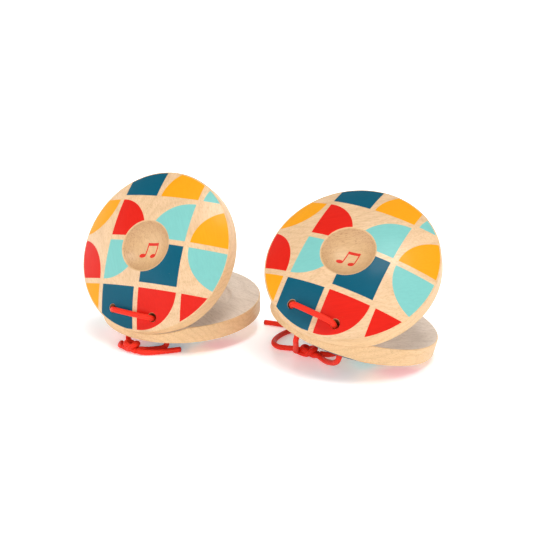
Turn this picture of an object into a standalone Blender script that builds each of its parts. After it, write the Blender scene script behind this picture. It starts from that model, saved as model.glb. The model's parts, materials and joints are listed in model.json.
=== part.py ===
"""A pair of toy finger castanets: two turned maple shells each, strung on one red elastic cord.

Each shell is a thick disc with a flat inner face, a shallow recess, a domed outer face with a finger
dimple, two cord holes, and a bevel on the inner face by the holes. Its mesh has its origin on the hinge
line, where the bevels of its two shells meet: X runs along that line, Y away from it over the shell,
and Z outwards. The set rests on z = 0, with its origin under the middle of the shells' box.
"""

import math

import bpy
import bmesh
from mathutils import Euler, Matrix, Vector

MM = 0.001

# Shell
SHELL_RADIUS = 30.0 * MM
WALL_HEIGHT = 5.8 * MM
DOME_RISE = 7.4 * MM
EDGE_ROUND = 0.6 * MM
RECESS_RADIUS = 19.0 * MM
RECESS_DEPTH = 2.4 * MM
DIMPLE_RADIUS = 9.2 * MM
DIMPLE_DEPTH = 3.8 * MM
DIMPLE_LIP = 0.8 * MM
SHELL_SEGMENTS = 48

# Hinge: the ridge where the flat face turns into the bevel
BEVEL_WIDTH = 6.8 * MM
RIDGE_OFFSET = SHELL_RADIUS - BEVEL_WIDTH
BEVEL_ANGLE = math.radians(27.65)
FACE_GAP = 0.3 * MM

# Cord
CORD_DIAMETER = 2.0 * MM
FINE_STEP = 1.6 * MM
FLOOR_STEP = 4.0 * MM
STRAND_START = 1.3 * MM
BRIDGE_SLACK = 1.0 * MM

# Cord holes, whose centres lie on a line parallel to the hinge line, a little behind it
HOLE_PLAY = 0.5 * MM
HOLE_DIAMETER = CORD_DIAMETER + 2 * HOLE_PLAY
HOLE_SPACING = 16.8 * MM
HOLE_OFFSET = RIDGE_OFFSET + 0.6 * MM
HOLE_SEGMENTS = 20

# Knot: a lump with two cords' legs on each side, in its own coordinates
KNOT_SIZE = (3.1 * CORD_DIAMETER, 2.35 * CORD_DIAMETER, 1.8 * CORD_DIAMETER)
KNOT_LEG = (1.875 * CORD_DIAMETER, 0.5 * CORD_DIAMETER)
KNOT_LEG_HEIGHT = 0.68 * CORD_DIAMETER

# The cord that the routes on the floor are laid out for
ROUTE_CORD = 2.0 * MM

WOOD = (0.78, 0.58, 0.36, 1.0)
CORD_RED = (0.75, 0.03, 0.015, 1.0)


class Castanet:
    """How one castanet stands on the floor, and the route of its cord below the shells.

    Route points are in millimetres from the point on the floor under the middle of the hinge line.
    """

    def __init__(self, name, contact, turn, lean, opening, slip, knot, knot_turn, legs, strands, ends):
        self.name = name
        self.contact = contact
        self.turn = math.radians(turn)
        self.lean = [math.radians(angle) for angle in lean]
        self.opening = math.radians(opening)
        self.slip = slip
        self.knot = knot
        self.knot_turn = math.radians(knot_turn)
        self.legs = legs
        self.strands = strands
        self.ends = ends


def clear_scene():
    for obj in list(bpy.data.objects):
        bpy.data.objects.remove(obj, do_unlink=True)


def principled(name, colour, roughness):
    material = bpy.data.materials.new(name)
    material.use_nodes = True
    shader = material.node_tree.nodes["Principled BSDF"]
    shader.inputs["Base Color"].default_value = colour
    shader.inputs["Roughness"].default_value = roughness
    shader.inputs["Metallic"].default_value = 0.0
    material.diffuse_color = colour
    return material


def add_object(name, data, parent, material):
    obj = bpy.data.objects.new(name, data)
    bpy.context.scene.collection.objects.link(obj)
    obj.parent = parent
    if material:
        data.materials.append(material)
    return obj


# ---------------------------------------------------------------- shells


def dome_radius():
    return (SHELL_RADIUS**2 + DOME_RISE**2) / (2 * DOME_RISE)


def outer_height(radius):
    """Height of the domed outer face above the flat inner face, at a distance from the shell's axis."""
    sphere = dome_radius()
    return WALL_HEIGHT + DOME_RISE - sphere + math.sqrt(sphere**2 - radius**2)


def arc(centre, radius, start, end, steps):
    """Points of an arc in the profile's plane, from one angle in degrees to another, ends included."""
    points = []
    for step in range(steps + 1):
        angle = math.radians(start + (end - start) * step / steps)
        points.append((centre[0] + radius * math.cos(angle), centre[1] + radius * math.sin(angle)))
    return points


def shell_profile():
    """(radius, height) points from the middle of the recess, over the wall, to the middle of the dimple."""
    recess_corner = (RECESS_RADIUS - RECESS_DEPTH, 0.0)
    points = [(0.0, RECESS_DEPTH)]
    points += arc(recess_corner, RECESS_DEPTH, 90, 0, 4)

    points += arc((SHELL_RADIUS - EDGE_ROUND, EDGE_ROUND), EDGE_ROUND, -90, 0, 2)

    sphere = dome_radius()
    edge_slope = math.degrees(math.asin((SHELL_RADIUS - EDGE_ROUND) / sphere))
    shoulder = outer_height(SHELL_RADIUS - EDGE_ROUND) - EDGE_ROUND
    points += arc((SHELL_RADIUS - EDGE_ROUND, shoulder), EDGE_ROUND, 0, 90 - edge_slope, 2)

    lip_start = DIMPLE_RADIUS + DIMPLE_LIP
    rings = 7
    for ring in range(1, rings + 1):
        radius = SHELL_RADIUS - EDGE_ROUND + (lip_start - SHELL_RADIUS + EDGE_ROUND) * ring / rings
        points.append((radius, outer_height(radius)))

    lip_height = outer_height(DIMPLE_RADIUS) - DIMPLE_LIP / 4
    bowl = (DIMPLE_RADIUS**2 + DIMPLE_DEPTH**2) / (2 * DIMPLE_DEPTH)
    bowl_centre = lip_height - DIMPLE_DEPTH + bowl
    rings = 6
    for ring in range(rings + 1):
        radius = DIMPLE_RADIUS * (1 - ring / rings)
        points.append((radius, bowl_centre - math.sqrt(bowl**2 - radius**2)))
    return points


def turned_mesh(name, profile, segments):
    """A closed solid turned round Z, from a profile that starts and ends on the axis."""
    bm = bmesh.new()
    rings = []
    for radius, height in profile:
        if radius < 1e-6:
            rings.append([bm.verts.new((0.0, 0.0, height))])
            continue
        ring = []
        for index in range(segments):
            angle = 2 * math.pi * index / segments
            ring.append(bm.verts.new((radius * math.cos(angle), radius * math.sin(angle), height)))
        rings.append(ring)
    for below, above in zip(rings, rings[1:]):
        for index in range(segments):
            after = (index + 1) % segments
            corners = [below[index % len(below)], below[after % len(below)]]
            corners += [above[after % len(above)], above[index % len(above)]]
            unique = list(dict.fromkeys(corners))
            bm.faces.new(unique)
    bmesh.ops.recalc_face_normals(bm, faces=bm.faces)
    mesh = bpy.data.meshes.new(name)
    bm.to_mesh(mesh)
    bm.free()
    return mesh


def cut(target, cutter, name):
    """Cuts the hidden cutter object out of the target with a Boolean modifier."""
    cutter.hide_render = True
    cutter.display_type = "WIRE"
    modifier = target.modifiers.new(name, "BOOLEAN")
    modifier.operation = "DIFFERENCE"
    modifier.solver = "EXACT"
    modifier.object = cutter


def bevel_cutter(parent):
    """A block whose top is the bevel: it rises from the ridge towards the rim on the hinge's side."""
    reach = 2 * (SHELL_RADIUS - RIDGE_OFFSET) + WALL_HEIGHT
    width = 2 * SHELL_RADIUS
    bm = bmesh.new()
    bmesh.ops.create_cube(bm, size=1.0)
    for vert in bm.verts:
        vert.co.x *= width
        vert.co.y = (vert.co.y - 0.5) * reach
        vert.co.z = (vert.co.z - 0.5) * reach
    mesh = bpy.data.meshes.new("bevel_cutter")
    bm.to_mesh(mesh)
    bm.free()
    cutter = add_object("bevel_cutter_" + parent.name, mesh, parent, None)
    cutter.location = (0.0, 0.0, FACE_GAP / 2)
    cutter.rotation_euler = (-BEVEL_ANGLE, 0.0, 0.0)
    return cutter


def hole_cutter(parent, side):
    bm = bmesh.new()
    bmesh.ops.create_cone(
        bm,
        cap_ends=True,
        segments=HOLE_SEGMENTS,
        radius1=HOLE_DIAMETER / 2,
        radius2=HOLE_DIAMETER / 2,
        depth=4 * (WALL_HEIGHT + DOME_RISE),
    )
    mesh = bpy.data.meshes.new("hole_cutter")
    bm.to_mesh(mesh)
    bm.free()
    cutter = add_object(f"hole_cutter_{parent.name}_{side:+d}", mesh, parent, None)
    cutter.location = (side * HOLE_SPACING / 2, RIDGE_OFFSET - HOLE_OFFSET, 0.0)
    return cutter


def make_shell(name, parent, material):
    """One shell, with its origin on the hinge line and its inner face half a gap from it."""
    mesh = turned_mesh(name, shell_profile(), SHELL_SEGMENTS)
    mesh.transform(Matrix.Translation((0.0, RIDGE_OFFSET, FACE_GAP / 2)))
    mesh.shade_smooth()
    mesh.set_sharp_from_angle(angle=math.radians(35))
    shell = add_object(name, mesh, parent, material)
    cut(shell, bevel_cutter(shell), "bevel")
    for side in (-1, 1):
        cut(shell, hole_cutter(shell, side), "cord hole")
    return shell


# ---------------------------------------------------------------- cords


def smooth_route(points, step):
    """Points about one step apart on a smooth curve through the given ones (Catmull-Rom)."""
    ends = [2 * points[0] - points[1], 2 * points[-1] - points[-2]]
    padded = [ends[0]] + points + [ends[1]]
    route = [points[0]]
    for index in range(1, len(padded) - 2):
        before, start, end, after = padded[index - 1 : index + 3]
        pieces = max(1, round((end - start).length / step))
        for piece in range(1, pieces + 1):
            t = piece / pieces
            curve = 2 * start + (end - before) * t
            curve += (2 * before - 5 * start + 4 * end - after) * t**2
            curve += (3 * start - before - 3 * end + after) * t**3
            route.append(curve / 2)
    return route


def make_cord(name, points, step, parent, material):
    """A plain tube along a route given in the parent's own coordinates."""
    route = smooth_route(points, step)
    data = bpy.data.curves.new(name, "CURVE")
    data.dimensions = "3D"
    data.bevel_depth = CORD_DIAMETER / 2
    data.bevel_resolution = 2
    data.use_fill_caps = True
    spline = data.splines.new("POLY")
    spline.points.add(len(route) - 1)
    for target, point in zip(spline.points, route):
        target.co = (*point, 1.0)
    return add_object(name, data, parent, material)


def bridge_route():
    """Out of one hole of the upper shell, over its outer face and into the other hole."""
    hole_radius = math.hypot(HOLE_SPACING / 2, HOLE_OFFSET)
    mouth = FACE_GAP / 2 + outer_height(hole_radius)
    top = FACE_GAP / 2 + outer_height(HOLE_OFFSET) + CORD_DIAMETER / 2 + BRIDGE_SLACK
    inset = HOLE_SPACING / 2
    line = RIDGE_OFFSET - HOLE_OFFSET
    half = [
        (inset, STRAND_START),
        (inset, mouth - 3.0 * MM),
        (inset + 0.1 * MM, mouth - 1.2 * MM),
        (inset - 0.05 * MM, mouth + 0.5 * MM),
        (inset - 1.0 * MM, mouth + 1.7 * MM),
        (inset - 3.0 * MM, top - 0.2 * MM),
    ]
    left = [Vector((-x, line, z)) for x, z in half]
    right = [Vector((x, line, z)) for x, z in reversed(half)]
    return left + [Vector((0.0, line, top))] + right


def knot_leg(castanet, along, aside):
    """Where a leg of the knot ends: along is -1 or 1 for its side of the knot, aside -1 or 1 for which leg."""
    turn = Matrix.Rotation(castanet.knot_turn, 2)
    flat = turn @ Vector((along * KNOT_LEG[0], aside * KNOT_LEG[1]))
    return Vector((castanet.knot[0] * MM + flat.x, castanet.knot[1] * MM + flat.y, KNOT_LEG_HEIGHT))


def floor_route(castanet, points, first_share):
    """Points of a route below the shells. A thicker cord lies higher and spreads out from the knot, by
    first_share of the full spread at the route's first point and all of it at its last."""
    spread = CORD_DIAMETER / ROUTE_CORD - 1
    knot = Vector((*castanet.knot, 0.0))
    route = []
    for index, point in enumerate(points):
        share = first_share + (1 - first_share) * (index + 1) / len(points)
        offset = Vector(point) - knot
        moved = knot + Vector((offset.x, offset.y, 0.0)) * (1 + spread * share)
        height = point[2] * MM + (CORD_DIAMETER - ROUTE_CORD) / 2
        route.append(Vector((moved.x * MM, moved.y * MM, height)))
    return route


def strand_route(side, shell_to_floor, floor_points):
    """Down through a hole of the lower shell, out of its underside and along the floor points."""
    hole_radius = math.hypot(HOLE_SPACING / 2, HOLE_OFFSET)
    mouth = FACE_GAP / 2 + outer_height(hole_radius)
    route = []
    for depth in (STRAND_START, mouth / 2, mouth - 1.0 * MM):
        in_shell = Vector((side * HOLE_SPACING / 2, RIDGE_OFFSET - HOLE_OFFSET, -depth))
        route.append(shell_to_floor @ in_shell)
    return route + floor_points


def make_knot(name, castanet, parent, material):
    bm = bmesh.new()
    bmesh.ops.create_uvsphere(bm, u_segments=16, v_segments=10, radius=0.5)
    bmesh.ops.scale(bm, vec=KNOT_SIZE, verts=bm.verts)
    mesh = bpy.data.meshes.new(name)
    bm.to_mesh(mesh)
    bm.free()
    mesh.shade_smooth()
    knot = add_object(name, mesh, parent, material)
    knot.location = (castanet.knot[0] * MM, castanet.knot[1] * MM, KNOT_SIZE[2] / 2)
    knot.rotation_euler = (0.0, 0.0, castanet.knot_turn)
    return knot


# ---------------------------------------------------------------- castanets


def resting_frame(castanet):
    """The hinge line's place and turn in the set, with the lower shell's dome resting on the floor."""
    turn = Matrix.Rotation(castanet.turn, 4, "Z")
    lean_vector = Vector((*castanet.lean, 0.0))
    lean = Matrix.Rotation(lean_vector.length, 4, lean_vector.normalized())
    rotation = lean @ turn
    sphere = dome_radius()
    sphere_centre = Vector((0.0, RIDGE_OFFSET, sphere - WALL_HEIGHT - DOME_RISE - FACE_GAP / 2))
    contact = Vector((castanet.contact[0] * SHELL_RADIUS, castanet.contact[1] * SHELL_RADIUS, sphere))
    return Matrix.Translation(contact - rotation @ sphere_centre) @ rotation


def add_empty(name, matrix, parent=None):
    empty = bpy.data.objects.new(name, None)
    empty.empty_display_size = 10 * MM
    bpy.context.scene.collection.objects.link(empty)
    empty.parent = parent
    empty.matrix_local = matrix
    return empty


def make_castanet(castanet, wood, red, origin):
    """Both shells and the cord of one castanet. Returns its two shells."""
    name = castanet.name
    frame = resting_frame(castanet)
    hinge = add_empty(name + "_hinge", frame, origin)
    floor_matrix = Matrix.Translation((frame.translation.x, frame.translation.y, 0.0))
    floor = add_empty(name + "_floor", floor_matrix, origin)

    lower = make_shell(name + "_lower_shell", hinge, wood)
    lower.rotation_euler = Euler((0.0, math.pi, 0.0))
    upper = make_shell(name + "_upper_shell", hinge, wood)
    upper.rotation_euler = Euler((castanet.opening, 0.0, 0.0))
    upper.location = [shift * MM for shift in castanet.slip]

    make_cord(name + "_cord_bridge", bridge_route(), FINE_STEP, upper, red)
    shell_to_floor = floor_matrix.inverted() @ frame
    for label, side in (("a", -1), ("b", 1)):
        points = floor_route(castanet, castanet.strands[label], 0.0)
        points.append(knot_leg(castanet, side, castanet.legs[label]))
        route = strand_route(side, shell_to_floor, points)
        make_cord(f"{name}_cord_strand_{label}", route, FINE_STEP, floor, red)
    make_knot(name + "_cord_knot", castanet, floor, red)
    for (label, points), side, strand in zip(castanet.ends.items(), (-1, 1), ("a", "b")):
        route = [knot_leg(castanet, side, -castanet.legs[strand])]
        route += floor_route(castanet, points, 1.0)
        make_cord(f"{name}_cord_{label}", route, FLOOR_STEP, floor, red)
    return lower, upper


# Contacts are where the lower shells touch the floor, in shell radii. Slips are the upper shell's shift from
# its place, in millimetres along the hinge's axes; legs say which leg
# of the knot each strand comes in by. The first end is cord a's, the second is cord b's.
LEFT = Castanet(
    "left",
    contact=(0.0, 0.0),
    turn=-27.4,
    lean=(5.9, 0.0),
    opening=55.3,
    slip=(-1.3, 0.0, 0.0),
    knot=(-5.2, -4.6),
    knot_turn=-40.0,
    legs={"a": 1, "b": 1},
    strands={
        "a": [(-7.7, 3.7, 2.5), (-7.6, 2.4, 1.3), (-7.5, 0.8, 1.1)],
        "b": [(7.0, -3.7, 1.9), (5.6, -4.2, 1.15), (3.0, -5.0, 1.05), (0.6, -5.7, 1.1)],
    },
    ends={
        "stub": [(-9.8, -1.6, 1.15), (-9.9, 0.2, 1.05), (-9.7, 1.6, 1.05)],
        "end": [
            (-0.8, -8.5, 1.1),
            (2.2, -8.4, 1.05),
            (5.5, -7.6, 1.05),
            (9.0, -6.6, 1.05),
            (12.5, -5.4, 1.05),
        ],
    },
)

RIGHT = Castanet(
    "right",
    contact=(2.55, -0.70333),
    turn=-33.0,
    lean=(2.0, 14.0),
    opening=47.2,
    slip=(-1.55, -1.5, -0.75),
    knot=(-4.5, 14.1),
    knot_turn=-30.0,
    legs={"a": -1, "b": -1},
    strands={
        "a": [(-9.5, 4.7, 9.7), (-9.4, 7.6, 7.2), (-9.2, 11.0, 4.4), (-9.2, 13.6, 2.3)],
        "b": [(4.15, -4.4, 5.9), (3.3, -1.8, 4.0), (2.1, 1.8, 2.6), (0.9, 5.4, 1.6), (-0.1, 8.6, 1.15)],
    },
    ends={
        "loop": [
            (-9.6, 18.9, 1.1),
            (-12.4, 19.6, 1.05),
            (-15.2, 20.8, 1.05),
            (-16.7, 24.0, 1.05),
            (-16.2, 28.4, 1.05),
            (-14.2, 32.8, 1.05),
            (-11.3, 36.6, 1.05),
            (-8.0, 39.0, 1.05),
        ],
        "tail": [
            (2.0, 12.8, 1.15),
            (4.6, 14.2, 1.05),
            (6.0, 17.4, 1.05),
            (5.6, 21.4, 1.05),
            (4.2, 25.4, 1.05),
            (2.4, 29.6, 1.05),
            (0.2, 33.9, 1.05),
            (-3.0, 38.2, 1.05),
            (-7.2, 41.6, 1.05),
            (-12.2, 43.9, 1.05),
            (-16.2, 45.8, 1.05),
            (-20.3, 47.5, 1.05),
        ],
    },
)


def centre_set(origin, shells):
    """Moves the set so that the middle of the shells' box is over the origin, and it rests on z = 0."""
    bpy.context.view_layer.update()
    graph = bpy.context.evaluated_depsgraph_get()
    corners = []
    for shell in shells:
        solid = shell.evaluated_get(graph)
        mesh = solid.to_mesh()
        corners += [solid.matrix_world @ vertex.co for vertex in mesh.vertices]
        solid.to_mesh_clear()
    low = Vector([min(corner[axis] for corner in corners) for axis in range(3)])
    high = Vector([max(corner[axis] for corner in corners) for axis in range(3)])
    middle = (low + high) / 2
    origin.location = (-middle.x, -middle.y, 0.0)


def main():
    clear_scene()
    wood = principled("maple", WOOD, 0.45)
    red = principled("red elastic", CORD_RED, 0.7)
    origin = add_empty("castanets", Matrix.Identity(4))
    shells = []
    for castanet in (LEFT, RIGHT):
        shells += make_castanet(castanet, wood, red, origin)
    centre_set(origin, shells)
    bpy.context.view_layer.update()


main()
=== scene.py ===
"""Looks of a pair of toy finger castanets: printed maple shells, strung on red braided elastic.

Lengths in the constants are in millimetres, as the shells' own sizes are. Each shell has its origin on the
hinge line, X along that line, Y over the shell and Z outwards; its axis is at y = RIDGE_OFFSET.
"""

import json
import math

import bpy
import numpy as np
from mathutils import Euler, Matrix, Vector
from mathutils.geometry import delaunay_2d_cdt


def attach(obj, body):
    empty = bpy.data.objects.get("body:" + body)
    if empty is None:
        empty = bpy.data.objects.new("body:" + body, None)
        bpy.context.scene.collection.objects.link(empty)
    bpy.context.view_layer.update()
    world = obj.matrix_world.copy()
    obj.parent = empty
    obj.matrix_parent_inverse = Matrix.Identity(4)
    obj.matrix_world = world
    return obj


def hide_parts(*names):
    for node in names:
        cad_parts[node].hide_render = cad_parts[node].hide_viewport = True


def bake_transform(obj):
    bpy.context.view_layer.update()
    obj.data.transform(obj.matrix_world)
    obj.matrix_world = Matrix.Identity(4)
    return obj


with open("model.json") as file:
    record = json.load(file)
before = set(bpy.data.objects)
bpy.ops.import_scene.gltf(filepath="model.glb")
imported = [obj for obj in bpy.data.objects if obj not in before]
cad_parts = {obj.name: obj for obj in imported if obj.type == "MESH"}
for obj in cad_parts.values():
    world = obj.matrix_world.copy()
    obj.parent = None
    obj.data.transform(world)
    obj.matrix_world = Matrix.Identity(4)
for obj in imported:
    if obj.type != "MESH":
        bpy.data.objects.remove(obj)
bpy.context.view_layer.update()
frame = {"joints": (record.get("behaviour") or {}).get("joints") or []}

MM = 0.001

# Shells, as in the CAD
SHELL_RADIUS = 30.0
WALL_HEIGHT = 5.8
DOME_RISE = 7.4
RECESS_RADIUS = 19.0
RECESS_DEPTH = 2.4
DIMPLE_RADIUS = 9.2
DIMPLE_DEPTH = 3.8
HOLE_RADIUS = 1.5
HOLE_SPACING = 16.8
HOLE_OFFSET = 23.8
RIDGE_OFFSET = 23.2
BEVEL_ANGLE = math.radians(27.65)
FACE_GAP = 0.3
SPHERE = (SHELL_RADIUS**2 + DOME_RISE**2) / (2 * DOME_RISE)
HOLES = ((-HOLE_SPACING / 2, RIDGE_OFFSET - HOLE_OFFSET), (HOLE_SPACING / 2, RIDGE_OFFSET - HOLE_OFFSET))

# Edges worn round
RIM_ROUND = 0.4
LOW_ROUND = 0.45
MOUTH_ROUND = 0.2
LIP_ROUND = 0.45
RIDGE_ROUND = 0.35

# Mesh spacing
RIM_SEGMENTS = 240
HOLE_SEGMENTS = 36
GRID_STEP = 1.25

# Cord
CORD_DIAMETER = 2.0
CORD_STEP = 0.16
CORD_SIDES = 32
STRAND_START = 1.3
BRIDGE_SLACK = 1.0


def srgb(r, g, b):
    """A colour given in 0-255 as it looks on a screen, in the linear values that a shader takes."""
    values = []
    for c in (r, g, b):
        c /= 255
        values.append(c / 12.92 if c <= 0.04045 else ((c + 0.055) / 1.055) ** 2.4)
    return (*values, 1.0)


# ---------------------------------------------------------------- camera

CAMERA_FROM_HINGE = Vector((0.042184, -0.300632, 0.11493))
CAMERA_ELEVATION = math.radians(15.01)
CAMERA_LENS = 59.44
CAMERA_SHIFT = (0.0043, -0.0207)


def hinge_place(name):
    """The middle of a castanet's hinge line at rest, in the row frame."""
    joint = next(j for j in frame["joints"] if j["name"] == name + "_hinge")
    return Vector(joint["pos_m"])


def make_camera():
    data = bpy.data.cameras.new("camera")
    data.lens = CAMERA_LENS
    data.sensor_width = 36.0
    data.shift_x, data.shift_y = CAMERA_SHIFT
    data.clip_start = 0.01
    data.clip_end = 20.0
    camera = bpy.data.objects.new("camera", data)
    pivot = hinge_place("left")
    camera.location = Vector((pivot.x, pivot.y, 0.0)) + CAMERA_FROM_HINGE
    camera.rotation_euler = (math.pi / 2 - CAMERA_ELEVATION, 0.0, 0.0)
    bpy.context.scene.collection.objects.link(camera)
    bpy.context.scene.camera = camera


make_camera()


# ---------------------------------------------------------------- places of the shells


class Castanet:
    """How one castanet stands on the floor, and the route of its cord below the shells.

    Route points are in millimetres from the point on the floor under the middle of the hinge line.
    """

    def __init__(self, name, turn, lean, opening, slip, knot, knot_turn, legs, strands, ends):
        self.name = name
        self.knot = knot
        self.knot_turn = math.radians(knot_turn)
        self.legs = legs
        self.strands = strands
        self.ends = ends
        pivot = hinge_place(name)
        lean_vector = Vector((math.radians(lean[0]), math.radians(lean[1]), 0.0))
        tilt = Matrix.Rotation(lean_vector.length, 4, lean_vector.normalized())
        self.hinge = Matrix.Translation(pivot) @ tilt @ Matrix.Rotation(math.radians(turn), 4, "Z")
        self.floor = Matrix.Translation((pivot.x, pivot.y, 0.0))
        self.lower = self.hinge @ Euler((0.0, math.pi, 0.0)).to_matrix().to_4x4()
        slide = Matrix.Translation(Vector(slip) * MM)
        self.upper = self.hinge @ slide @ Matrix.Rotation(math.radians(opening), 4, "X")

    def below(self, points):
        return [self.floor @ (Vector(point) * MM) for point in points]

    def in_upper(self, points):
        return [self.upper @ (Vector(point) * MM) for point in points]

    def in_hinge(self, points):
        return [self.hinge @ (Vector(point) * MM) for point in points]


LEFT = Castanet(
    "left",
    turn=-27.4,
    lean=(5.9, 0.0),
    opening=55.3,
    slip=(-1.3, 0.0, 0.0),
    knot=(-5.2, -4.6, 1.9),
    knot_turn=-40.0,
    legs={"a": 1, "b": 1},
    strands={
        "a": [(-7.7, 3.7, 2.5), (-7.6, 2.4, 1.3), (-7.5, 0.8, 1.1)],
        "b": [(7.0, -3.7, 1.9), (5.6, -4.2, 1.15), (3.0, -5.0, 1.05), (0.6, -5.7, 1.1)],
    },
    ends={
        "stub": [(-9.8, -1.6, 1.15), (-9.9, 0.2, 1.05), (-9.7, 1.6, 1.05)],
        "end": [
            (-0.8, -8.5, 1.1),
            (2.2, -8.4, 1.05),
            (5.5, -7.6, 1.05),
            (9.0, -6.6, 1.05),
            (12.5, -5.4, 1.05),
        ],
    },
)

RIGHT = Castanet(
    "right",
    turn=-33.0,
    lean=(2.0, 14.0),
    opening=47.2,
    slip=(-1.55, -1.5, -0.75),
    knot=(-4.5, 14.1, 1.9),
    knot_turn=-30.0,
    legs={"a": -1, "b": -1},
    strands={
        "a": [(-9.5, 4.7, 9.7), (-9.4, 7.6, 7.2), (-9.2, 11.0, 4.4), (-9.2, 13.6, 2.3)],
        "b": [(4.15, -4.4, 5.9), (3.3, -1.8, 4.0), (2.1, 1.8, 2.6), (0.9, 5.4, 1.6), (-0.1, 8.6, 1.15)],
    },
    ends={
        "loop": [
            (-9.6, 18.9, 1.1),
            (-12.4, 19.6, 1.05),
            (-15.2, 20.8, 1.05),
            (-16.7, 24.0, 1.05),
            (-16.2, 28.4, 1.05),
            (-14.2, 32.8, 1.05),
            (-11.3, 36.6, 1.05),
            (-8.0, 39.0, 1.05),
        ],
        "tail": [
            (2.0, 12.8, 1.15),
            (4.6, 14.2, 1.05),
            (6.0, 17.4, 1.05),
            (5.6, 21.4, 1.05),
            (4.2, 25.4, 1.05),
            (2.4, 29.6, 1.05),
            (0.2, 33.9, 1.05),
            (-3.0, 38.2, 1.05),
            (-7.2, 41.6, 1.05),
            (-12.2, 43.9, 1.05),
            (-16.2, 45.8, 1.05),
            (-20.3, 47.5, 1.05),
        ],
    },
)


# ---------------------------------------------------------------- shader helpers


class Shader:
    """A material whose nodes are added by short calls."""

    def __init__(self, name):
        self.material = bpy.data.materials.new(name)
        self.material.use_nodes = True
        self.nodes = self.material.node_tree.nodes
        self.links = self.material.node_tree.links
        self.principled = self.nodes["Principled BSDF"]

    def node(self, kind, **settings):
        made = self.nodes.new(kind)
        for name, value in settings.items():
            setattr(made, name, value)
        return made

    def feed(self, socket, value):
        if isinstance(value, bpy.types.NodeSocket):
            self.links.new(value, socket)
        elif value is not None:
            socket.default_value = value

    def math(self, operation, a, b=None, c=None, clamp=False):
        made = self.node("ShaderNodeMath", operation=operation, use_clamp=clamp)
        for socket, value in zip(made.inputs, (a, b, c)):
            self.feed(socket, value)
        return made.outputs[0]

    def mix(self, factor, a, b, blend="MIX"):
        made = self.node("ShaderNodeMix", data_type="RGBA", blend_type=blend)
        self.feed(made.inputs["Factor"], factor)
        self.feed(made.inputs[6], a)
        self.feed(made.inputs[7], b)
        return made.outputs[2]

    def attribute(self, name, output="Vector"):
        return self.node("ShaderNodeAttribute", attribute_name=name).outputs[output]

    def scaled(self, vector, scale, place=(0.0, 0.0, 0.0)):
        made = self.node("ShaderNodeMapping")
        self.feed(made.inputs["Vector"], vector)
        made.inputs["Scale"].default_value = scale
        made.inputs["Location"].default_value = place
        return made.outputs[0]

    def noise(self, vector, detail=2.0, roughness=0.5):
        made = self.node("ShaderNodeTexNoise")
        self.feed(made.inputs["Vector"], vector)
        made.inputs["Scale"].default_value = 1.0
        made.inputs["Detail"].default_value = detail
        made.inputs["Roughness"].default_value = roughness
        return made.outputs["Fac"]

    def ramp(self, factor, stops, interpolation="EASE"):
        """stops are (place, value) pairs of greys, or (place, colour) pairs."""
        made = self.node("ShaderNodeValToRGB")
        made.color_ramp.interpolation = interpolation
        elements = made.color_ramp.elements
        while len(elements) < len(stops):
            elements.new(0.5)
        for element, (place, value) in zip(elements, stops):
            element.position = place
            element.color = (value, value, value, 1.0) if isinstance(value, float) else value
        self.feed(made.inputs[0], factor)
        return made.outputs[0]

    def bump(self, height, distance, strength):
        made = self.node("ShaderNodeBump")
        made.inputs["Strength"].default_value = strength
        made.inputs["Distance"].default_value = distance * MM
        self.feed(made.inputs["Height"], height)
        return made.outputs[0]

    def set(self, **values):
        for name, value in values.items():
            self.feed(self.principled.inputs[name.replace("_", " ")], value)


# ---------------------------------------------------------------- wood and paint

MAPLE_LIGHT = srgb(233, 198, 157)
MAPLE_DARK = srgb(209, 167, 123)
MAPLE_LINE = srgb(190, 146, 100)
HOLE_BROWN = srgb(150, 98, 55)
BARE_LIGHT = srgb(232, 215, 198)
BARE_DARK = srgb(208, 187, 167)
WARM_LIGHT = srgb(236, 199, 151)
WARM_DARK = srgb(217, 174, 122)
BLUE = srgb(0, 84, 106)
MINT = srgb(122, 190, 182)
RED = srgb(214, 30, 16)
YELLOW = srgb(236, 156, 18)
INK = srgb(214, 52, 40)


def wood_signals(shader):
    """Grain from the "grain" attribute, whose Y runs along the fibres: rings, streaks and pores, 0 to 1."""
    grain = shader.attribute("grain")
    wander = shader.noise(shader.scaled(grain, (0.05, 0.018, 0.05)), detail=2.0)
    split = shader.node("ShaderNodeSeparateXYZ")
    shader.feed(split.inputs[0], grain)
    across = shader.math("MULTIPLY", split.outputs[0], split.outputs[0])
    deep = shader.math("MULTIPLY", split.outputs[2], split.outputs[2])
    radius = shader.math("SQRT", shader.math("ADD", across, deep))
    rings = shader.math("MULTIPLY_ADD", wander, 9.0, shader.math("MULTIPLY", radius, 0.42))
    phase = shader.math("FRACT", rings)
    line = shader.ramp(phase, [(0.0, 0.6), (0.15, 0.1), (0.5, 0.0), (0.8, 0.3), (0.95, 0.8), (1.0, 0.6)])
    streaks = shader.noise(shader.scaled(grain, (1.9, 0.09, 1.9)), detail=3.0, roughness=0.7)
    pores = shader.ramp(
        shader.noise(shader.scaled(grain, (4.2, 0.7, 4.2)), detail=2.0),
        [(0.54, 0.0), (0.68, 1.0)],
        "LINEAR",
    )
    cloud = shader.noise(shader.scaled(grain, (0.07, 0.03, 0.07), (7.0, 3.0, 1.0)), detail=1.0)
    return line, streaks, pores, cloud


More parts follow.
